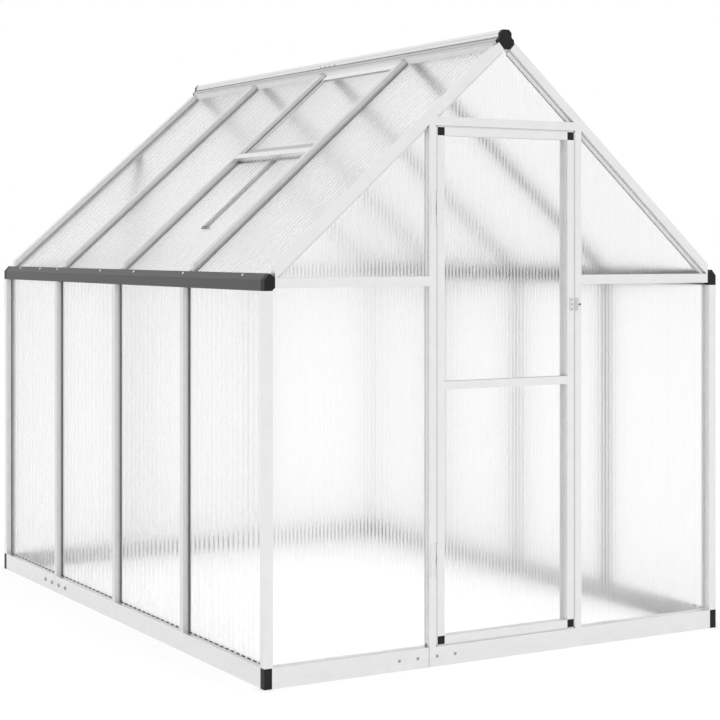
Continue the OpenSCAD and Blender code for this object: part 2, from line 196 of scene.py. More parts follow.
# Ramp between two colours, over the middle part of a texture's range
def tintRamp(nodes, places, colours):
    ramp = nodes.new("ShaderNodeValToRGB")
    stops = ramp.color_ramp.elements
    for i in (0, 1):
        stops[i].position = places[i]
        stops[i].color = colours[i]
    return ramp


# 1 on faces that look into the house along one axis: the mask for painted shade on them
def inwardShadeMask(tree, place, axis):
    nodes = tree.nodes
    links = tree.links
    normal = nodes.new("ShaderNodeSeparateXYZ")
    links.new(place.outputs["Normal"], normal.inputs["Vector"])
    facing = normal.outputs[axis]
    if axis != upHouse:
        spot = nodes.new("ShaderNodeSeparateXYZ")
        links.new(place.outputs["Object"], spot.inputs["Vector"])
        side = nodes.new("ShaderNodeMath")
        side.operation = "SIGN"
        links.new(spot.outputs[axis], side.inputs[0])
        outward = nodes.new("ShaderNodeMath")
        outward.operation = "MULTIPLY"
        links.new(facing, outward.inputs[0])
        links.new(side.outputs[0], outward.inputs[1])
        facing = outward.outputs[0]
    level = nodes.new("ShaderNodeMapRange")
    setRange(level, "From", metalLook["paintedShadeFacing"])
    links.new(facing, level.inputs["Value"])
    return level.outputs["Result"]


# Extruded bar: fine draw lines along the bar over a faint mottle, painted shade on inner faces if an axis
# is given
def drawnMetal(name, colours, long, inward, slope=0.0, shadeColour=metalLook["paintedShadeColour"]):
    mat = bpy.data.materials.new(name)
    mat.use_nodes = True
    tree = mat.node_tree
    nodes = tree.nodes
    links = tree.links
    shader = nodes["Principled BSDF"]
    shader.inputs["Metallic"].default_value = metalLook["metallic"]
    place = nodes.new("ShaderNodeTexCoord")
    spot = place.outputs["Object"]
    if slope:
        bothSlopes = nodes.new("ShaderNodeVectorMath")  # the two roof slopes mirror each other
        bothSlopes.operation = "ABSOLUTE"
        links.new(spot, bothSlopes.inputs[0])
        spot = bothSlopes.outputs["Vector"]
    stretch = nodes.new("ShaderNodeMapping")
    stretch.vector_type = "TEXTURE"
    stretch.inputs["Rotation"].default_value = (0.0, slope, 0.0)
    along, across = metalLook["lineSize"]
    stretch.inputs["Scale"].default_value = [along if i == long else across for i in range(3)]
    links.new(spot, stretch.inputs["Vector"])
    lines = nodes.new("ShaderNodeTexNoise")
    lines.inputs["Scale"].default_value = 1.0
    lines.inputs["Detail"].default_value = metalLook["lineDetail"]
    links.new(stretch.outputs["Vector"], lines.inputs["Vector"])
    mottle = nodes.new("ShaderNodeTexNoise")
    mottle.inputs["Scale"].default_value = metalLook["mottleScale"]
    mottle.inputs["Detail"].default_value = metalLook["mottleDetail"]
    links.new(place.outputs["Object"], mottle.inputs["Vector"])
    blend = nodes.new("ShaderNodeMix")
    blend.inputs["Factor"].default_value = metalLook["mottleShare"]
    links.new(lines.outputs["Fac"], blend.inputs["A"])
    links.new(mottle.outputs["Fac"], blend.inputs["B"])
    tint = tintRamp(nodes, metalLook["spread"], colours)
    links.new(blend.outputs["Result"], tint.inputs["Fac"])
    colour = tint.outputs["Color"]
    if inward is not None:
        # painted shade on the faces that look into the house
        shadeMix = nodes.new("ShaderNodeMixRGB")
        shadeMix.inputs["Color2"].default_value = shadeColour
        links.new(inwardShadeMask(tree, place, inward), shadeMix.inputs["Fac"])
        links.new(colour, shadeMix.inputs["Color1"])
        colour = shadeMix.outputs["Color"]
    links.new(colour, shader.inputs["Base Color"])
    gloss = nodes.new("ShaderNodeMapRange")
    setRange(gloss, "From", metalLook["spread"])
    setRange(gloss, "To", metalLook["roughness"])
    links.new(blend.outputs["Result"], gloss.inputs["Value"])
    links.new(gloss.outputs["Result"], shader.inputs["Roughness"])
    bump = nodes.new("ShaderNodeBump")
    bump.inputs["Distance"].default_value = metalLook["bump"]
    links.new(lines.outputs["Fac"], bump.inputs["Height"])
    links.new(bump.outputs["Normal"], shader.inputs["Normal"])
    return mat


paintLook = {
    "colours": ((0.054, 0.054, 0.055, 1.0), (0.068, 0.068, 0.069, 1.0)),
    "roughness": (0.38, 0.5),
    "shine": 0.35,
    "metallic": 0.0,
    "scale": 420.0,
    "bump": 0.00008,
}
plasticLook = {
    "colours": ((0.006, 0.006, 0.006, 1.0), (0.010, 0.010, 0.010, 1.0)),
    "roughness": (0.42, 0.56),
    "shine": 0.25,
    "metallic": 0.0,
    "scale": 900.0,
    "bump": 0.00012,
}
# Dark seal rubber on the side walls: a real seal whose darkness is painted shade of the bars' grooves
shadeRubberLook = {
    "colours": ((0.16, 0.16, 0.162, 1.0), (0.21, 0.21, 0.212, 1.0)),
    "roughness": (0.6, 0.75),
    "shine": 0.3,
    "metallic": 0.0,
    "scale": 600.0,
    "bump": 0.0001,
}
# Roof seal rubber and ridge bead: painted shade of the bars' grooves and the ridge
shadeRoofRubberLook = {
    "colours": ((0.30, 0.30, 0.302, 1.0), (0.36, 0.36, 0.362, 1.0)),
    "roughness": (0.6, 0.75),
    "shine": 0.3,
    "metallic": 0.0,
    "scale": 600.0,
    "bump": 0.0001,
}
# Grey bead and ridge flap: painted shade on the bars' sides and the ridge wings
shadeBeadLook = {
    "colours": ((0.50, 0.50, 0.503, 1.0), (0.58, 0.58, 0.583, 1.0)),
    "roughness": (0.5, 0.65),
    "shine": 0.35,
    "metallic": 0.0,
    "scale": 600.0,
    "bump": 0.00008,
}
# Pale gable gasket: painted light in the bars' recesses
paintedLightGasketLook = {
    "colours": ((0.88, 0.88, 0.881, 1.0), (0.92, 0.92, 0.921, 1.0)),
    "roughness": (0.55, 0.7),
    "shine": 0.3,
    "metallic": 0.0,
    "scale": 600.0,
    "bump": 0.00008,
}
foamLook = {
    "colours": ((0.90, 0.90, 0.90, 1.0), (0.95, 0.95, 0.95, 1.0)),
    "roughness": (0.7, 0.85),
    "shine": 0.2,
    "metallic": 0.0,
    "scale": 800.0,
    "bump": 0.0002,
}
brushLook = {
    "colours": ((0.66, 0.66, 0.66, 1.0), (0.78, 0.78, 0.78, 1.0)),
    "roughness": (0.75, 0.9),
    "shine": 0.2,
    "metallic": 0.0,
    "scale": 1500.0,
    "bump": 0.0003,
}
# Dark grey stay: partly its own colour, partly painted shade
stayLook = {
    "colours": ((0.24, 0.24, 0.243, 1.0), (0.32, 0.32, 0.323, 1.0)),
    "roughness": (0.45, 0.6),
    "shine": 0.4,
    "metallic": 0.3,
    "scale": 700.0,
    "bump": 0.00005,
}
zincLook = {
    "colours": ((0.34, 0.34, 0.345, 1.0), (0.46, 0.46, 0.465, 1.0)),
    "roughness": (0.32, 0.5),
    "shine": 0.5,
    "metallic": 0.9,
    "scale": 700.0,
    "bump": 0.00005,
}
grain = {"detail": 3.0, "spread": (0.35, 0.65)}


# Fine-grained coat or moulded skin
def grainySkin(name, look):
    mat = bpy.data.materials.new(name)
    mat.use_nodes = True
    tree = mat.node_tree
    nodes = tree.nodes
    links = tree.links
    shader = nodes["Principled BSDF"]
    shader.inputs["Specular IOR Level"].default_value = look["shine"]
    shader.inputs["Metallic"].default_value = look["metallic"]
    place = nodes.new("ShaderNodeTexCoord")
    specks = nodes.new("ShaderNodeTexNoise")
    specks.inputs["Scale"].default_value = look["scale"]
    specks.inputs["Detail"].default_value = grain["detail"]
    links.new(place.outputs["Object"], specks.inputs["Vector"])
    tint = tintRamp(nodes, grain["spread"], look["colours"])
    links.new(specks.outputs["Fac"], tint.inputs["Fac"])
    links.new(tint.outputs["Color"], shader.inputs["Base Color"])
    gloss = nodes.new("ShaderNodeMapRange")
    setRange(gloss, "From", grain["spread"])
    setRange(gloss, "To", look["roughness"])
    links.new(specks.outputs["Fac"], gloss.inputs["Value"])
    links.new(gloss.outputs["Result"], shader.inputs["Roughness"])
    bump = nodes.new("ShaderNodeBump")
    bump.inputs["Distance"].default_value = look["bump"]
    links.new(specks.outputs["Fac"], bump.inputs["Height"])
    links.new(bump.outputs["Normal"], shader.inputs["Normal"])
    return mat


sheetLook = {
    "clear": 1.0,
    "side": {"haze": (0.09, 0.66), "tints": (0.930, 1.0), "pitch": 0.034, "wander": 0.8},
    "roof": {"haze": (0.18, 0.52), "tints": (0.995, 1.0), "pitch": 0.028, "wander": 0.3},
    "gable": {"haze": (0.26, 0.67), "tints": (0.945, 0.985), "pitch": 0.0125, "wander": 0.3},
    "streakStretch": 0.02,
    "streakDetail": 1.0,
    "bend": 1.07,
    "lampTint": (0.88, 0.88, 0.88, 1.0),
    "ribColour": (0.96, 0.96, 0.96, 1.0),
    "ribDensity": 0.03,
}


# Skin of the twin-wall sheet: milky in streaks along the ribs, lets lamplight in
def sheetSkin(name, acrossAxis, stripes):
    mat = bpy.data.materials.new(name)
    mat.use_nodes = True
    tree = mat.node_tree
    nodes = tree.nodes
    links = tree.links
    shader = nodes["Principled BSDF"]
    shader.inputs["IOR"].default_value = sheetLook["bend"]
    shader.inputs["Transmission Weight"].default_value = sheetLook["clear"]
    place = nodes.new("ShaderNodeTexCoord")
    stretch = nodes.new("ShaderNodeMapping")
    stretch.inputs["Scale"].default_value = [1.0 if i == acrossAxis else sheetLook["streakStretch"]
                                             for i in range(3)]
    links.new(place.outputs["Object"], stretch.inputs["Vector"])
    streaks = nodes.new("ShaderNodeTexWave")
    streaks.bands_direction = "XYZ"[acrossAxis]
    streaks.inputs["Scale"].default_value = math.pi / (10 * stripes["pitch"])  # one wave each pitch
    streaks.inputs["Distortion"].default_value = stripes["wander"]
    streaks.inputs["Detail"].default_value = sheetLook["streakDetail"]
    links.new(stretch.outputs["Vector"], streaks.inputs["Vector"])
    haze = nodes.new("ShaderNodeMapRange")
    setRange(haze, "To", stripes["haze"])
    links.new(streaks.outputs["Fac"], haze.inputs["Value"])
    links.new(haze.outputs["Result"], shader.inputs["Roughness"])
    tint = nodes.new("ShaderNodeValToRGB")
    for stop, level in zip(tint.color_ramp.elements, stripes["tints"]):
        stop.color = (level, level, level, 1.0)
    links.new(streaks.outputs["Fac"], tint.inputs["Fac"])
    links.new(tint.outputs["Color"], shader.inputs["Base Color"])
    path = nodes.new("ShaderNodeLightPath")
    letIn = nodes.new("ShaderNodeBsdfTransparent")
    letIn.inputs["Color"].default_value = sheetLook["lampTint"]
    mix = nodes.new("ShaderNodeMixShader")
    links.new(path.outputs["Is Shadow Ray"], mix.inputs[0])
    links.new(shader.outputs["BSDF"], mix.inputs[1])
    links.new(letIn.outputs["BSDF"], mix.inputs[2])
    links.new(mix.outputs["Shader"], nodes["Material Output"].inputs["Surface"])
    return mat


# Ribs inside the sheet: thin milky walls
def sheetRib(name):
    mat = bpy.data.materials.new(name)
    mat.use_nodes = True
    tree = mat.node_tree
    nodes = tree.nodes
    links = tree.links
    nodes.remove(nodes["Principled BSDF"])
    milky = nodes.new("ShaderNodeBsdfTranslucent")
    milky.inputs["Color"].default_value = sheetLook["ribColour"]
    clear = nodes.new("ShaderNodeBsdfTransparent")
    mix = nodes.new("ShaderNodeMixShader")
    mix.inputs[0].default_value = sheetLook["ribDensity"]
    links.new(clear.outputs["BSDF"], mix.inputs[1])
    links.new(milky.outputs["BSDF"], mix.inputs[2])
    links.new(mix.outputs["Shader"], nodes["Material Output"].inputs["Surface"])
    return mat


bright = metalLook["brightColours"]
shadedBright = metalLook["shadedBrightColours"]
grey = metalLook["greyColours"]
basePaintedShade = metalLook["basePaintedShade"]
metalAcross = drawnMetal("aluminiumAcross", bright, acrossHouse, alongHouse)
metalLengthwise = drawnMetal("aluminiumLengthwise", bright, alongHouse, acrossHouse)
metalBaseSide = drawnMetal("aluminiumBaseSide", bright, alongHouse, acrossHouse, shadeColour=basePaintedShade)
metalBaseEnd = drawnMetal("aluminiumBaseEnd", bright, acrossHouse, alongHouse, shadeColour=basePaintedShade)
metalPost = drawnMetal("aluminiumPost", bright, upHouse, None)
metalStud = drawnMetal("aluminiumStud", shadedBright, upHouse, acrossHouse)
metalGableUpright = drawnMetal("aluminiumGableUpright", bright, upHouse, alongHouse)
metalDoorUpright = drawnMetal("aluminiumDoorUpright", bright, upHouse, None)
metalDoorAcross = drawnMetal("aluminiumDoorAcross", bright, acrossHouse, None)
metalGableSloping = drawnMetal("aluminiumGableSloping", bright, acrossHouse, None, roofPitch)
metalSloping = drawnMetal("aluminiumSloping", shadedBright, acrossHouse, upHouse, roofPitch)
# the vent rails' grey is painted shade
metalVentRail = drawnMetal("aluminiumVentRail", grey, alongHouse, acrossHouse)
metalLatch = drawnMetal("aluminiumLatch", shadedBright, upHouse, alongHouse)
gutterPaint = grainySkin("gutterPaint", paintLook)
blackPlastic = grainySkin("blackPlastic", plasticLook)
shadeSealRubber = grainySkin("shadeSealRubber", shadeRubberLook)
shadeRoofRubber = grainySkin("shadeRoofRubber", shadeRoofRubberLook)
ridgeFoam = grainySkin("ridgeFoam", foamLook)
shadeGreyBead = grainySkin("shadeGreyBead", shadeBeadLook)
paintedLightGasket = grainySkin("paintedLightGasket", paintedLightGasketLook)
doorBrush = grainySkin("doorBrush", brushLook)
zincPlate = grainySkin("zincPlate", zincLook)
stayMetal = grainySkin("stayMetal", stayLook)
sheetSide = sheetSkin("twinWallSide", alongHouse, sheetLook["side"])
sheetRoof = sheetSkin("twinWallRoof", alongHouse, sheetLook["roof"])
sheetGable = sheetSkin("twinWallGable", acrossHouse, sheetLook["gable"])
sheetMilky = sheetRib("twinWallRib")
print("finishes mixed")

finishes = (
    (metalAcross, "front_tie_rails back_tie_rails door_header"),
    (metalDoorAcross, "door_rails door_mid_rail"),
    (metalDoorUpright, "door_stiles door_hinge_leaves"),
    (metalBaseEnd, "front_base_rail back_base_rail"),
    (metalBaseSide, "left_base_rail right_base_rail base_splice_plates"),
    (metalLengthwise, "ridge_beam vent_lintel"),
    (metalVentRail, "vent_rails"),
    (metalPost, "corner_posts"),
    (metalStud, "left_studs right_studs"),
    (metalGableUpright, "door_jambs back_gable_studs jamb_hinge_leaves hinge_pins"),
    (metalLatch, "latch_keeper door_latch"),
    (metalGableSloping, "front_gable_rafters back_gable_rafters"),
    (metalSloping, "left_rafters right_rafters vent_stiles"),
    (stayMetal, "vent_stay"),
    (gutterPaint, "left_gutter right_gutter"),
    (blackPlastic, "base_corner_caps gutter_end_caps ridge_end_caps door_corner_caps"),
)
barEdge = {"width": 0.0006, "steps": 2, "angle": 0.6}


# Each carried solid gets its finish and a small edge radius
def finishSolids():
    for mat, names in finishes:
        for name in names.split():
            solid = cadNodes[name]
            solid.data.materials.clear()
            solid.data.materials.append(mat)
            edge = solid.modifiers.new("softEdge", "BEVEL")
            edge.width = barEdge["width"]
            edge.segments = barEdge["steps"]
            edge.limit_method = "ANGLE"
            edge.angle_limit = barEdge["angle"]


finishSolids()
print("solids finished")


# Twin-wall sheets: scalloped skins over ribs, cut to each solid's outline

sheetShape = {
    "pitch": 0.008,
    "steps": 6,
    "dip": 0.00022,
    "ribWidth": 0.0005,
    "ribInset": 0.0003,
    "skinFacing": 0.9,
    "cutSpare": 0.3,
    "weld": 1e-6,
    "tiny": 1e-7,
    "digits": 6,
}
houseMiddle = Vector((0.0, 0.0, 0.9))
smoothAngle = 0.5


# The separate sheets of a node, each as a list of faces
def islandsOf(mesh):
    left = dict.fromkeys(mesh.faces)  # a dictionary keeps their order
    islands = []
    while left:
        start = next(iter(left))
        del left[start]
        island = [start]
        queue = [start]
        while queue:
            face = queue.pop()
            for edge in face.edges:
                for other in edge.link_faces:
                    if other in left:
                        del left[other]
                        island.append(other)
                        queue.append(other)
        islands.append(island)
    return islands


# One sheet's rim in its own plane: u across the sheet, v up it
class SheetOutline:
    def __init__(self, island, out):
        up = Vector((0.0, 0.0, 1.0))
        self.out = out
        self.along = (up - out * up.dot(out)).normalized()
        self.across = self.along.cross(out)
        depths = [v.co.dot(out) for face in island for v in face.verts]
        self.front = max(depths)
        self.back = min(depths)
        skin = [face for face in island if face.normal.dot(out) > sheetShape["skinFacing"]]
        rim = [e for face in skin for e in face.edges if sum(f in skin for f in e.link_faces) == 1]
        self.rim = [[(v.co.dot(self.across), v.co.dot(self.along)) for v in e.verts] for e in rim]
        self.corners = sorted({round(p[0], sheetShape["digits"]) for side in self.rim for p in side})

    # Lowest and highest point of the sheet at a place across it
    def span(self, u):
        found = []
        for (ua, va), (ub, vb) in self.rim:
            if abs(ub - ua) > sheetShape["tiny"] and min(ua, ub) <= u <= max(ua, ub):
                found.append(va + (vb - va) * (u - ua) / (ub - ua))
        return min(found), max(found)

    def point(self, u, v, depth):
        return self.across * u + self.along * v + self.out * depth


def addSheet(bm, outline):
    pitch = sheetShape["pitch"]
    first = outline.corners[0]
    last = outline.corners[-1]
    step = pitch / sheetShape["steps"]
    count = int((last - first) / step)
    cuts = [first + i * step for i in range(1, count + 1)]
    spare = step * sheetShape["cutSpare"]
    cuts = [c for c in cuts if min(abs(c - k) for k in outline.corners) > spare]
    cuts = sorted(cuts + outline.corners)
    seen = {}

    def vert(u, v, front):
        key = (round(u, sheetShape["digits"]), round(v, sheetShape["digits"]), front)
        if key not in seen:
            dip = sheetShape["dip"] * math.sin(math.pi * (u - first) / pitch) ** 2
            depth = outline.front - dip if front else outline.back + dip
            seen[key] = bm.verts.new(outline.point(u, v, depth))
        return seen[key]

    def quad(*corners):
        if len(set(corners)) > 2:
            loop = [c for i, c in enumerate(corners) if c != corners[i - 1]]
            bm.faces.new(loop)

    # Wall across the sheet's thickness, between two heights
    def closing(u, low, high):
        if high - low > sheetShape["weld"]:
            quad(vert(u, low, True), vert(u, high, True), vert(u, high, False), vert(u, low, False))

    tiny = sheetShape["tiny"]
    before = None
    for ua, ub in zip(cuts, cuts[1:]):
        a0, a1 = outline.span(ua + tiny)
        b0, b1 = outline.span(ub - tiny)
        quad(vert(ua, a0, True), vert(ub, b0, True), vert(ub, b1, True), vert(ua, a1, True))
        quad(vert(ua, a1, False), vert(ub, b1, False), vert(ub, b0, False), vert(ua, a0, False))
        quad(vert(ua, a1, True), vert(ub, b1, True), vert(ub, b1, False), vert(ua, a1, False))
        quad(vert(ua, a0, False), vert(ub, b0, False), vert(ub, b0, True), vert(ua, a0, True))
        if before is None:
            closing(ua, a0, a1)
        else:
            closing(ua, min(before[0], a0), max(before[0], a0))
            closing(ua, min(before[1], a1), max(before[1], a1))
        before = (b0, b1)
    closing(last, *before)
    addRibs(bm, outline, first, last)


def addRibs(bm, outline, first, last):
    half = sheetShape["ribWidth"] / 2
    inset = sheetShape["ribInset"]
    pitch = sheetShape["pitch"]
    for i in range(1, int((last - first) / pitch) + 1):
        u = first + i * pitch
        if u > last - half:
            break
        low, high = outline.span(u)
        front = outline.front - inset
        back = outline.back + inset
        corners = []
        for v in (low + inset, high - inset):
            for side, depth in ((-half, front), (half, front), (half, back), (-half, back)):
                corners.append(bm.verts.new(outline.point(u + side, v, depth)))
        faces = [(0, 1, 5, 4), (1, 2, 6, 5), (2, 3, 7, 6), (3, 0, 4, 7), (3, 2, 1, 0), (4, 5, 6, 7)]
        for face in faces:
            bm.faces.new([corners[k] for k in face]).material_index = 1  # the rib's own finish


def keepPiece(name, bm, mats, body):
    mesh = bpy.data.meshes.new(name)
    bm.to_mesh(mesh)
    bm.free()
    for mat in mats:
        mesh.materials.append(mat)
    mesh.shade_smooth()
    mesh.set_sharp_from_angle(angle=smoothAngle)
    piece = bpy.data.objects.new(name, mesh)
    scene.collection.objects.link(piece)
    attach(piece, body)
    print("piece", name, len(mesh.polygons), "faces")
    return piece


# Outlines of a node's sheets, looking from outside the house
def outlinesOf(node):
    source = bmesh.new()
    source.from_mesh(cadNodes[node].data)
    bmesh.ops.remove_doubles(source, verts=source.verts, dist=sheetShape["weld"])
    bmesh.ops.recalc_face_normals(source, faces=source.faces)
    outlines = []
    for island in islandsOf(source):
        widest = max(island, key=lambda f: f.calc_area())
        out = widest.normal.copy()
        if out.dot(widest.calc_center_median() - houseMiddle) < 0:
            out.negate()
        outlines.append(SheetOutline(island, out))
    source.free()
    return outlines


def makeSheets(node, body, skin):
    bm = bmesh.new()
    for outline in outlinesOf(node):
        addSheet(bm, outline)
    piece = keepPiece(node + "_ribbed", bm, (skin, sheetMilky), body)
    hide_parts(node)


for node in "left_wall_sheets right_wall_sheets".split():
    makeSheets(node, "frame", sheetSide)
for node in "left_roof_sheets right_roof_sheets vent_sheet".split():
    makeSheets(node, "frame", sheetRoof)
for node in "front_lower_sheets front_gable_sheets back_lower_sheets back_gable_sheets".split():
    makeSheets(node, "frame", sheetGable)
makeSheets("door_sheets", "door", sheetGable)


# Straight run between two rings of points, closed at both ends
def addRun(bm, ringA, ringB):
    first = [bm.verts.new(p) for p in ringA]
    last = [bm.verts.new(p) for p in ringB]
    count = len(first)
    faces = [bm.faces.new(first), bm.faces.new(last)]
    for i in range(count):
        j = (i + 1) % count
        faces.append(bm.faces.new((first[i], first[j], last[j], last[i])))
    bmesh.ops.recalc_face_normals(bm, faces=faces)
    return faces


# Glazing seals: a dark lip on each sheet's long edges and a grey bead over it, under the bar heads;
# partly real seals, their dark and grey tones painted shade of the bars' grooves and sides.
# At the corner posts there is only a fillet
glazingSeal = {
    "inset": 0.0003,
    "lip": ((0.0, 0.0), (0.0074, 0.0), (0.0074, 0.0034), (0.0066, 0.0044), (0.0, 0.0044)),
    "bead": ((0.0, 0.0046), (0.0070, 0.0046), (0.0074, 0.0056), (0.0074, 0.0098), (0.0, 0.0098)),
    "fillet": ((0.0, 0.0), (0.0036, 0.0), (0.0032, 0.0016), (0.0016, 0.0034), (0.0, 0.0044)),
    "cornerFrom": 1.09,
    "probe": 0.003,
}
# Black foot strip: painted shade along the side sheets' feet
footShadeStrip = {
    "height": 0.0024,
    "depth": 0.0030,
    "ends": 0.009,
    "tooth": 0.020,
    "drain": 0.017,
    "clear": 0.0002,
}


def addEdgeRun(bm, outline, start, turn, section):
    low, high = outline.span(start + turn * glazingSeal["probe"])
    rings = []
    for v in (low, high):
        rings.append([outline.point(start + turn * u, v, outline.front + d) for u, d in section])
    return addRun(bm, *rings)


def makeSeals(node, name, lipSkin, feet):
    bm = bmesh.new()
    for outline in outlinesOf(node):
        first = outline.corners[0]
        last = outline.corners[-1]
        for start, turn in ((first + glazingSeal["inset"], 1.0), (last - glazingSeal["inset"], -1.0)):
            if abs(outline.point(start, 0.0, 0.0).y) > glazingSeal["cornerFrom"]:
                addEdgeRun(bm, outline, start, turn, glazingSeal["fillet"])
                continue
            addEdgeRun(bm, outline, start, turn, glazingSeal["lip"])
            for face in addEdgeRun(bm, outline, start, turn, glazingSeal["bead"]):
                face.material_index = 1  # grey bead
        if feet:
            addFoot(bm, outline, first + footShadeStrip["ends"], last - footShadeStrip["ends"])
    keepPiece(name, bm, (lipSkin, shadeGreyBead, blackPlastic), "frame")


# Dark foot strip on the base rail, cut through by drain slots: painted shade along the sheets' feet
def addFoot(bm, outline, start, end):
    step = footShadeStrip["tooth"] + footShadeStrip["drain"]
    count = int((end - start) / step)
    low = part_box("left_base_rail")[1][2] + footShadeStrip["clear"]
    high = low + footShadeStrip["height"]
    near = outline.front + footShadeStrip["clear"]
    far = near + footShadeStrip["depth"]
    section = ((low, near), (low, far), ((low + high) / 2, far), (high, near))
    for i in range(count):
        u = start + (end - start) * i / count
        rings = []
        for w in (u, u + footShadeStrip["tooth"]):
            rings.append([outline.point(w, v, d) for v, d in section])
        for face in addRun(bm, *rings):
            face.material_index = 2  # black plastic


makeSeals("left_wall_sheets", "left_wall_seals", shadeSealRubber, True)
makeSeals("right_wall_sheets", "right_wall_seals", shadeSealRubber, True)
makeSeals("left_roof_sheets", "left_roof_seals", shadeRoofRubber, False)
makeSeals("right_roof_sheets", "right_roof_seals", shadeRoofRubber, False)


# Light gaskets in the gables' bars, along every edge but those at the corner posts and the base: their
# pale colour is painted light in the bars' recesses
gableGasket = {
    "width": 0.0086,
    "height": 0.0096,
    "inset": 0.0003,
    "endGap": 0.0085,
    "shortest": 0.05,
    "postFrom": 0.80,
    "baseBelow": 0.07,
}


def makeGaskets(node, name):
    bm = bmesh.new()
    for outline in outlinesOf(node):
        ends = [Vector(p) for side in outline.rim for p in side]
        middle = sum(ends, Vector((0.0, 0.0))) / len(ends)
        for a, b in outline.rim:
            addGasket(bm, outline, Vector(a), Vector(b), middle)
    keepPiece(name, bm, (paintedLightGasket,), "frame")


def addGasket(bm, outline, a, b, middle):
    spot = outline.point(*((a + b) / 2), outline.front)
    length = (b - a).length
    atBase = spot.z < gableGasket["baseBelow"]
    atPost = abs(spot.x) > gableGasket["postFrom"]
    if atBase or atPost or length < gableGasket["shortest"]:
        return
    run = (b - a) / length
    inward = Vector((-run.y, run.x))
    if inward.dot(middle - a) < 0:
        inward.negate()
    foot = outline.front
    top = foot + gableGasket["height"]
    rings = []
    for end in (a + run * gableGasket["endGap"], b - run * gableGasket["endGap"]):
        near = end + inward * gableGasket["inset"]
        far = near + inward * gableGasket["width"]
        section = ((near, foot), (far, foot), (far, top), (near, top))
        rings.append([outline.point(p.x, p.y, depth) for p, depth in section])
    addRun(bm, *rings)


for part in ("front_lower", "front_gable", "back_lower", "back_gable"):
    makeGaskets(part + "_sheets", part + "_gaskets")


ridgeCrown = 0.0154  # the ridge beam's top above the apex of the slopes
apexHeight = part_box("ridge_beam")[1][2] - ridgeCrown


# A spot on a roof slope: down it from the apex, in from its face, along the house, side -1 or 1
def slopeSpot(down, deep, y, side):
    x = down * math.cos(roofPitch) - deep * math.sin(roofPitch)
    z = apexHeight - down * math.sin(roofPitch) - deep * math.cos(roofPitch)
    return (side * x, y, z)


# A section on a roof slope, run along the house between two ends
def addSlopeRun(bm, section, ends, side):
    rings = []
    for y in ends:
        rings.append([slopeSpot(down, deep, y, side) for down, deep in section])
    return addRun(bm, *rings)


# Ridge weather strips: a dark bead at each wing's root and a grey flap on the wing, both painted shade,
# and pale foam below its edge
ridgeStrip = {
    "bead": ((0.0210, -0.0071), (0.0238, -0.0071), (0.0236, -0.0084), (0.0212, -0.0088)),
    "flap": ((0.0280, -0.0072), (0.0402, -0.0072), (0.0402, -0.0078), (0.0280, -0.0078)),
    "flapInset": 0.001,
    "foam": ((0.0404, 0.0006), (0.0414, 0.0006), (0.0424, 0.0218), (0.0404, 0.0218)),
    "ventFoam": ((0.0404, 0.0006), (0.0414, 0.0006), (0.0422, 0.0136),
                 (0.0690, 0.0136), (0.0690, 0.0148), (0.0404, 0.0148)),
    "barHalf": 0.0135,
    "firstBar": -1.1225,
    "bay": 0.56125,
    "bays": 4,
    "ventBay": 1,
    "gableEdge": 1.106,
}


def makeRidgeStrips():
    flaps = bmesh.new()
    foam = bmesh.new()
    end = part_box("ridge_beam")[1][1] - ridgeStrip["flapInset"]
    for side in (-1, 1):
        addSlopeRun(flaps, ridgeStrip["flap"], (-end, end), side)
        for face in addSlopeRun(flaps, ridgeStrip["bead"], (-end, end), side):
            # the bead's dark rubber is painted shade at the wing's root
            face.material_index = 1  # roof rubber
        for i in range(ridgeStrip["bays"]):
            overVent = side < 0 and i == ridgeStrip["ventBay"]
            section = ridgeStrip["ventFoam" if overVent else "foam"]
            start = ridgeStrip["firstBar"] + i * ridgeStrip["bay"]
            near = max(start + ridgeStrip["barHalf"], -ridgeStrip["gableEdge"])
            far = min(start + ridgeStrip["bay"] - ridgeStrip["barHalf"], ridgeStrip["gableEdge"])
            addSlopeRun(foam, section, (near, far), side)
    keepPiece("ridge_flaps", flaps, (shadeGreyBead, shadeRoofRubber), "frame")
    keepPiece("ridge_foam", foam, (ridgeFoam,), "frame")


# Dark cap on the lower end of the vent's stay
stayCap = {
    "section": ((0.8619, 0.0270), (0.8700, 0.0270), (0.8736, 0.0290),
                (0.8736, 0.0320), (0.8700, 0.0345), (0.8619, 0.0345)),
    "middle": -0.280625,
    "half": 0.0230,
}


def makeStayCap():
    bm = bmesh.new()
    ends = (stayCap["middle"] - stayCap["half"], stayCap["middle"] + stayCap["half"])
    addSlopeRun(bm, stayCap["section"], ends, -1)
    keepPiece("stay_end_cap", bm, (blackPlastic,), "frame")


makeRidgeStrips()
makeStayCap()


# Bolt, screw and rivet heads: a dome with a short upright foot, and a six-sided socket or a plain top
headShape = {
    "sides": 24,
    "rings": ((1.0, 0.0), (1.0, 0.22), (0.93, 0.42), (0.78, 0.72), (0.60, 0.90), (0.46, 0.94)),
    "socket": ((0.40, 0.90), (0.37, 0.45)),
    "plainTop": (0.2, 1.0),
}


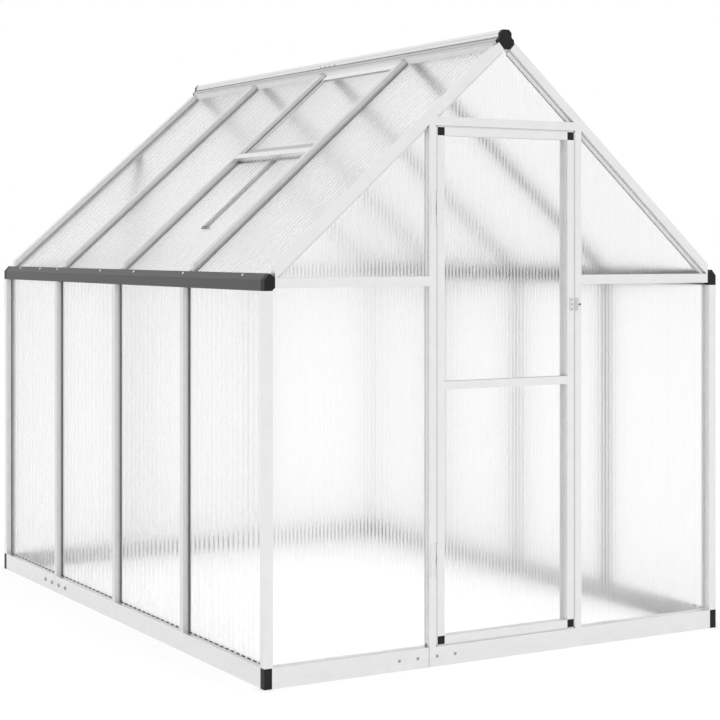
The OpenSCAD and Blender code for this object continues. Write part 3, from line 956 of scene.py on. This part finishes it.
def addHead(bm, place, out, radius, height, socket=True):
    out = Vector(out).normalized()
    side = out.orthogonal().normalized()
    other = out.cross(side)
    sides = headShape["sides"]
    rings = [(r, h, False) for r, h in headShape["rings"]]
    if socket:
        rings += [(r, h, True) for r, h in headShape["socket"]]
    else:
        rings.append((*headShape["plainTop"], False))
    loops = []
    for reach, rise, hexed in rings:
        loop = []
        for i in range(sides):
            angle = 2 * math.pi * i / sides
            spoke = reach
            if hexed:
                spoke = reach / math.cos(angle % (math.pi / 3) - math.pi / 6)
            spot = Vector(place) + out * (height * rise)
            spot += (side * math.cos(angle) + other * math.sin(angle)) * (radius * spoke)
            loop.append(bm.verts.new(spot))
        loops.append(loop)
    faces = [bm.faces.new(loops[0][::-1]), bm.faces.new(loops[-1])]
    for low, high in zip(loops, loops[1:]):
        for i in range(sides):
            j = (i + 1) % sides
            faces.append(bm.faces.new((low[i], low[j], high[j], high[i])))
    bmesh.ops.recalc_face_normals(bm, faces=faces)


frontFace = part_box("front_base_rail")[0][1]
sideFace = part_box("left_base_rail")[0][0]
towardsFront = (0, -1, 0)

# Bolts in the base rails, on both sides of each joint
baseBolts = {
    "alongFront": (-0.392, -0.327, -0.258, -0.193),
    "alongSide": (0.462, 0.528, 0.597, 0.665),
    "height": 0.031,
    "frontSize": (0.0050, 0.0034),
    "sideSize": (0.0078, 0.0040),
}


def makeBaseBolts():
    bm = bmesh.new()
    z = baseBolts["height"]
    for turn in (1, -1):
        for x in baseBolts["alongFront"]:
            addHead(bm, (turn * x, turn * frontFace, z), (0, -turn, 0), *baseBolts["frontSize"])
        for y in baseBolts["alongSide"]:
            addHead(bm, (turn * sideFace, y, z), (-turn, 0, 0), *baseBolts["sideSize"])
    keepPiece("base_bolts", bm, (zincPlate,), "frame")


# Rivets in the gutters' sloping top and on both cheeks of the ridge
gutterRivets = {
    "along": (0.977, 0.758, 0.574, 0.151, -0.149, -0.547, -0.971),
    "spot": (0.8338, 1.1895),
    "out": (0.745, 0.667),
    "size": (0.0042, 0.002),
}
ridgeRivets = {
    "along": (0.035, 0.001, -0.033, -0.070),
    "cheek": 0.0205,
    "height": 1.9285,
    "size": (0.0040, 0.0018),
}


def makeRivets():
    gutter = bmesh.new()
    ridge = bmesh.new()
    x, z = gutterRivets["spot"]
    outX, outZ = gutterRivets["out"]
    for turn in (1, -1):
        for y in gutterRivets["along"]:
            addHead(gutter, (turn * x, y, z), (turn * outX, 0, outZ), *gutterRivets["size"], socket=False)
        for y in ridgeRivets["along"]:
            place = (turn * ridgeRivets["cheek"], y, ridgeRivets["height"])
            addHead(ridge, place, (turn, 0, 0), *ridgeRivets["size"], socket=False)
    keepPiece("gutter_rivets", gutter, (metalLengthwise,), "frame")
    keepPiece("ridge_rivets", ridge, (zincPlate,), "frame")


# Screws in the hinge leaves and latch plates, and the dark plug in the latch knob
hardware = {
    "hingeLine": -0.2585,
    "hingeHeights": (0.322, 1.388),
    "screwSteps": (-0.036, 0.0, 0.036),
    "leafFace": -1.137,
    "leafScrew": 0.0135,
    "latchHeight": 1.090,
    "latchFace": -1.138,
    "plateScrews": (-0.015, 0.0, 0.015),
    "keeperScrews": (-0.016, -0.008, 0.008, 0.016),
    "screw": (0.0031, 0.0011),
    "doorPlate": 0.247,
    "keeperPlate": 0.270,
    "keeperScrewLine": 0.2672,
    "keeperScrew": (0.0022, 0.0009),
    "knobEnd": -1.150,
    "plug": (0.0031, 0.0012),
}


def makeScrews():
    doorScrews = bmesh.new()
    jambScrews = bmesh.new()
    for height in hardware["hingeHeights"]:
        for step in hardware["screwSteps"]:
            for bm, turn in ((doorScrews, 1), (jambScrews, -1)):
                x = hardware["hingeLine"] + turn * hardware["leafScrew"]
                place = (x, hardware["leafFace"], height + step)
                addHead(bm, place, towardsFront, *hardware["screw"])
    keepPiece("door_hinge_screws", doorScrews, (metalDoorUpright,), "door")
    keepPiece("jamb_hinge_screws", jambScrews, (metalGableUpright,), "frame")


def makeLatchDetail():
    doorScrews = bmesh.new()
    keeperScrews = bmesh.new()
    plug = bmesh.new()
    middle = hardware["latchHeight"]
    for step in hardware["plateScrews"]:
        place = (hardware["doorPlate"], hardware["latchFace"], middle + step)
        addHead(doorScrews, place, towardsFront, *hardware["screw"])
    for step in hardware["keeperScrews"]:
        place = (hardware["keeperScrewLine"], hardware["latchFace"], middle + step)
        addHead(keeperScrews, place, towardsFront, *hardware["keeperScrew"])
    place = (hardware["keeperPlate"], hardware["knobEnd"], middle)
    addHead(plug, place, towardsFront, *hardware["plug"])
    keepPiece("door_latch_screws", doorScrews, (zincPlate,), "door")
    keepPiece("keeper_screws", keeperScrews, (zincPlate,), "frame")
    keepPiece("latch_knob_plug", plug, (blackPlastic,), "frame")


# Brush strip round the door's edges, in the gap between door and frame.
# Its nose: share of the reach, share of the depth
brushStrip = {
    "reach": 0.0047,
    "front": 0.0004,
    "back": 0.020,
    "nose": ((0.0, 0.0), (0.86, 0.0), (0.95, 0.015), (1.0, 0.05),
             (1.0, 0.95), (0.95, 0.985), (0.86, 1.0), (0.0, 1.0)),
}


def makeBrushes():
    bottom, top = [corner[2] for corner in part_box("door_rails")]
    left, right = [corner[0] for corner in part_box("door_stiles")]
    start = frontFace + brushStrip["front"]
    depth = brushStrip["back"] - brushStrip["front"]
    nose = [(brushStrip["reach"] * r, start + depth * d) for r, d in brushStrip["nose"]]
    bm = bmesh.new()
    for edge, turn in ((left, -1), (right, 1)):
        addRun(bm, *[[(edge + turn * reach, y, z) for reach, y in nose] for z in (bottom, top)])
    for edge, turn in ((bottom, -1), (top, 1)):
        addRun(bm, *[[(x, y, edge + turn * reach) for reach, y in nose] for x in (left, right)])
    keepPiece("door_brushes", bm, (doorBrush,), "door")


# Dark beads in the joints of the front and back base rails
jointBead = {
    "joint": 0.287,
    "width": 0.0009,
    "proud": 0.0003,
    "depth": 0.0028,
    "foot": 0.0005,
}


def makeJointBeads():
    half = jointBead["width"] / 2
    heights = (jointBead["foot"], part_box("front_base_rail")[1][2])
    bm = bmesh.new()
    for turn in (1, -1):
        x = -turn * jointBead["joint"]
        face = turn * (frontFace - jointBead["proud"])
        back = face + turn * jointBead["depth"]
        ring = ((x - half, back), (x - half, face), (x + half, face), (x + half, back))
        addRun(bm, *[[(a, b, z) for a, b in ring] for z in heights])
    keepPiece("base_joint_beads", bm, (blackPlastic,), "frame")


makeBaseBolts()
makeRivets()
makeScrews()
makeLatchDetail()
makeBrushes()
makeJointBeads()
